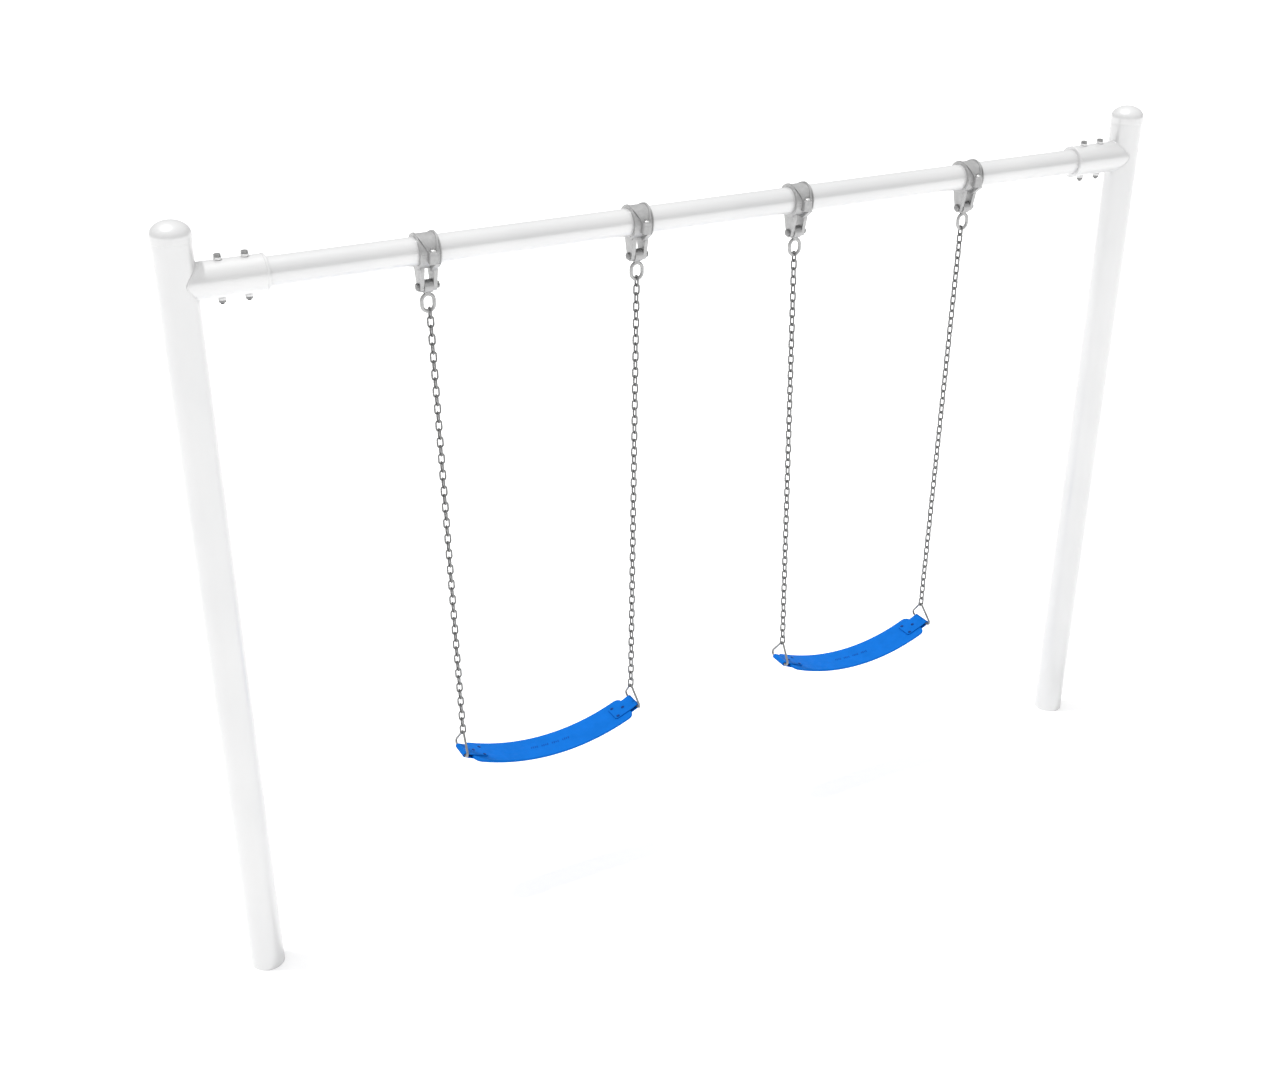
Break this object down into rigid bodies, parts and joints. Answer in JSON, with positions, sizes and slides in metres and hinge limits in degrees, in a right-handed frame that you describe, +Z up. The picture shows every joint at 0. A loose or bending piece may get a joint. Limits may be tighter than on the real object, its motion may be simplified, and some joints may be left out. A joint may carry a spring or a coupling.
{
  "type": "swing set",
  "caption": "Playground swing frame: capped round posts, a top rail in bolted collars, pivoting hangers, chains with triangle ends and curved belt seats.",
  "frame": {"origin": "on the ground, midway between the two posts", "axes": "+X along the top rail, +Y away from the front, +Z up"},
  "size_m": [3.6484, 0.148, 2.621],
  "materials": {
    "white_paint": "satin white powder coat over galvanised steel tube",
    "galvanised_casting": "hot-dip galvanised casting, mid grey, slightly grainy",
    "galvanised_chain": "galvanised welded chain, satin",
    "plated_wire": "zinc-plated bent wire, satin",
    "zinc_fasteners": "zinc-plated fasteners, dull",
    "bronze": "oil-filled bronze",
    "blue_rubber": "moulded blue rubber, satin",
    "rivet_finish": "rivets coated in the blue of the belt",
    "spring_steel": "bare spring steel, hidden in the belt"
  },
  "bodies": {
    "frame": {"left_post": "white_paint", "left_post_cap": "white_paint", "left_collar": "white_paint", "right_post": "white_paint", "right_post_cap": "white_paint", "right_collar": "white_paint", "top_rail": "white_paint", "collar_bolts": "zinc_fasteners", "collar_nuts": "zinc_fasteners", "collar_washers": "white_paint", "clamp_screws": "zinc_fasteners", "pivot_nuts": "zinc_fasteners", "left_outer_clamp_top": "galvanised_casting", "left_outer_yoke": "galvanised_casting", "left_outer_pivot_pin": "zinc_fasteners", "left_inner_clamp_top": "galvanised_casting", "left_inner_yoke": "galvanised_casting", "left_inner_pivot_pin": "zinc_fasteners", "right_outer_clamp_top": "galvanised_casting", "right_outer_yoke": "galvanised_casting", "right_outer_pivot_pin": "zinc_fasteners", "right_inner_clamp_top": "galvanised_casting", "right_inner_yoke": "galvanised_casting", "right_inner_pivot_pin": "zinc_fasteners"},
    "left_outer_pendulum": {"left_outer_pendulum": "galvanised_casting", "left_outer_bushing": "bronze"},
    "left_outer_upper_link": {"left_outer_upper_link": "galvanised_chain"},
    "left_outer_chain": {"left_outer_chain": "galvanised_chain"},
    "left_outer_lower_link": {"left_outer_lower_link": "galvanised_chain"},
    "left_seat": {"left_outer_triangle": "plated_wire", "left_seat_belt": "blue_rubber", "left_seat_insert": "spring_steel", "left_seat_end_straps": "blue_rubber", "left_seat_rivets": "rivet_finish"},
    "left_inner_pendulum": {"left_inner_pendulum": "galvanised_casting", "left_inner_bushing": "bronze"},
    "left_inner_upper_link": {"left_inner_upper_link": "galvanised_chain"},
    "left_inner_chain": {"left_inner_chain": "galvanised_chain"},
    "left_inner_lower_link": {"left_inner_lower_link": "galvanised_chain"},
    "left_inner_triangle": {"left_inner_triangle": "plated_wire"},
    "right_outer_pendulum": {"right_outer_pendulum": "galvanised_casting", "right_outer_bushing": "bronze"},
    "right_outer_upper_link": {"right_outer_upper_link": "galvanised_chain"},
    "right_outer_chain": {"right_outer_chain": "galvanised_chain"},
    "right_outer_lower_link": {"right_outer_lower_link": "galvanised_chain"},
    "right_seat": {"right_outer_triangle": "plated_wire", "right_seat_belt": "blue_rubber", "right_seat_insert": "spring_steel", "right_seat_end_straps": "blue_rubber", "right_seat_rivets": "rivet_finish"},
    "right_inner_pendulum": {"right_inner_pendulum": "galvanised_casting", "right_inner_bushing": "bronze"},
    "right_inner_upper_link": {"right_inner_upper_link": "galvanised_chain"},
    "right_inner_chain": {"right_inner_chain": "galvanised_chain"},
    "right_inner_lower_link": {"right_inner_lower_link": "galvanised_chain"},
    "right_inner_triangle": {"right_inner_triangle": "plated_wire"}
  },
  "joints": [
    {"name": "left_outer_pendulum_swing", "type": "hinge", "parent": "frame", "child": "left_outer_pendulum", "pos_m": [-1.026, 0, 2.328], "axis": [1, 0, 0], "range_deg": [-60, 60]},
    {"name": "left_outer_chain_swing", "type": "hinge", "parent": "left_outer_pendulum", "child": "left_outer_upper_link", "pos_m": [-1.026, 0, 2.24882], "axis": [1, 0, 0], "range_deg": [-30, 30]},
    {"name": "left_outer_chain_sway", "type": "hinge", "parent": "left_outer_upper_link", "child": "left_outer_chain", "pos_m": [-1.02146, 0, 2.22369], "axis": [0, 1, 0], "range_deg": [-8, 8]},
    {"name": "left_outer_link_level", "type": "hinge", "parent": "left_outer_chain", "child": "left_outer_lower_link", "pos_m": [-0.99594, 0, 0.73151], "axis": [0, 1, 0], "range_deg": [-9, 9]},
    {"name": "left_outer_triangle_tilt", "type": "hinge", "parent": "left_outer_lower_link", "child": "left_seat", "pos_m": [-0.99545, 0, 0.70281], "axis": [1, 0, 0], "range_deg": [-35, 35]},
    {"name": "left_inner_pendulum_swing", "type": "hinge", "parent": "frame", "child": "left_inner_pendulum", "pos_m": [-0.305, 0, 2.328], "axis": [1, 0, 0], "range_deg": [-60, 60]},
    {"name": "left_inner_chain_swing", "type": "hinge", "parent": "left_inner_pendulum", "child": "left_inner_upper_link", "pos_m": [-0.305, 0, 2.24882], "axis": [1, 0, 0], "range_deg": [-30, 30]},
    {"name": "left_inner_chain_sway", "type": "hinge", "parent": "left_inner_upper_link", "child": "left_inner_chain", "pos_m": [-0.30555, 0, 2.22369], "axis": [0, 1, 0], "range_deg": [-8, 8]},
    {"name": "left_inner_link_level", "type": "hinge", "parent": "left_inner_chain", "child": "left_inner_lower_link", "pos_m": [-0.33106, 0, 0.73151], "axis": [0, 1, 0], "range_deg": [-9, 9]},
    {"name": "left_inner_triangle_tilt", "type": "hinge", "parent": "left_inner_lower_link", "child": "left_inner_triangle", "pos_m": [-0.33155, 0, 0.70281], "axis": [1, 0, 0], "range_deg": [-35, 35]},
    {"name": "right_outer_pendulum_swing", "type": "hinge", "parent": "frame", "child": "right_outer_pendulum", "pos_m": [1.026, 0, 2.328], "axis": [1, 0, 0], "range_deg": [-60, 60]},
    {"name": "right_outer_chain_swing", "type": "hinge", "parent": "right_outer_pendulum", "child": "right_outer_upper_link", "pos_m": [1.026, 0, 2.24882], "axis": [1, 0, 0], "range_deg": [-30, 30]},
    {"name": "right_outer_chain_sway", "type": "hinge", "parent": "right_outer_upper_link", "child": "right_outer_chain", "pos_m": [1.02146, 0, 2.22369], "axis": [0, 1, 0], "range_deg": [-8, 8]},
    {"name": "right_outer_link_level", "type": "hinge", "parent": "right_outer_chain", "child": "right_outer_lower_link", "pos_m": [0.99594, 0, 0.73151], "axis": [0, 1, 0], "range_deg": [-9, 9]},
    {"name": "right_outer_triangle_tilt", "type": "hinge", "parent": "right_outer_lower_link", "child": "right_seat", "pos_m": [0.99545, 0, 0.70281], "axis": [1, 0, 0], "range_deg": [-35, 35]},
    {"name": "right_inner_pendulum_swing", "type": "hinge", "parent": "frame", "child": "right_inner_pendulum", "pos_m": [0.305, 0, 2.328], "axis": [1, 0, 0], "range_deg": [-60, 60]},
    {"name": "right_inner_chain_swing", "type": "hinge", "parent": "right_inner_pendulum", "child": "right_inner_upper_link", "pos_m": [0.305, 0, 2.24882], "axis": [1, 0, 0], "range_deg": [-30, 30]},
    {"name": "right_inner_chain_sway", "type": "hinge", "parent": "right_inner_upper_link", "child": "right_inner_chain", "pos_m": [0.30555, 0, 2.22369], "axis": [0, 1, 0], "range_deg": [-8, 8]},
    {"name": "right_inner_link_level", "type": "hinge", "parent": "right_inner_chain", "child": "right_inner_lower_link", "pos_m": [0.33106, 0, 0.73151], "axis": [0, 1, 0], "range_deg": [-9, 9]},
    {"name": "right_inner_triangle_tilt", "type": "hinge", "parent": "right_inner_lower_link", "child": "right_inner_triangle", "pos_m": [0.33155, 0, 0.70281], "axis": [1, 0, 0], "range_deg": [-35, 35]}
  ],
  "couplings": [
    {"joint": "left_inner_pendulum_swing", "follows": "left_outer_pendulum_swing", "ratio": 1},
    {"joint": "left_inner_chain_swing", "follows": "left_outer_chain_swing", "ratio": 1},
    {"joint": "left_inner_chain_sway", "follows": "left_outer_chain_sway", "ratio": 1},
    {"joint": "left_inner_triangle_tilt", "follows": "left_outer_triangle_tilt", "ratio": 1},
    {"joint": "left_outer_link_level", "follows": "left_outer_chain_sway", "ratio": -1.0768},
    {"joint": "left_inner_link_level", "follows": "left_outer_chain_sway", "ratio": -1.0768},
    {"joint": "right_inner_pendulum_swing", "follows": "right_outer_pendulum_swing", "ratio": 1},
    {"joint": "right_inner_chain_swing", "follows": "right_outer_chain_swing", "ratio": 1},
    {"joint": "right_inner_chain_sway", "follows": "right_outer_chain_sway", "ratio": 1},
    {"joint": "right_inner_triangle_tilt", "follows": "right_outer_triangle_tilt", "ratio": 1},
    {"joint": "right_outer_link_level", "follows": "right_outer_chain_sway", "ratio": -1.0768},
    {"joint": "right_inner_link_level", "follows": "right_outer_chain_sway", "ratio": -1.0768}
  ]
}
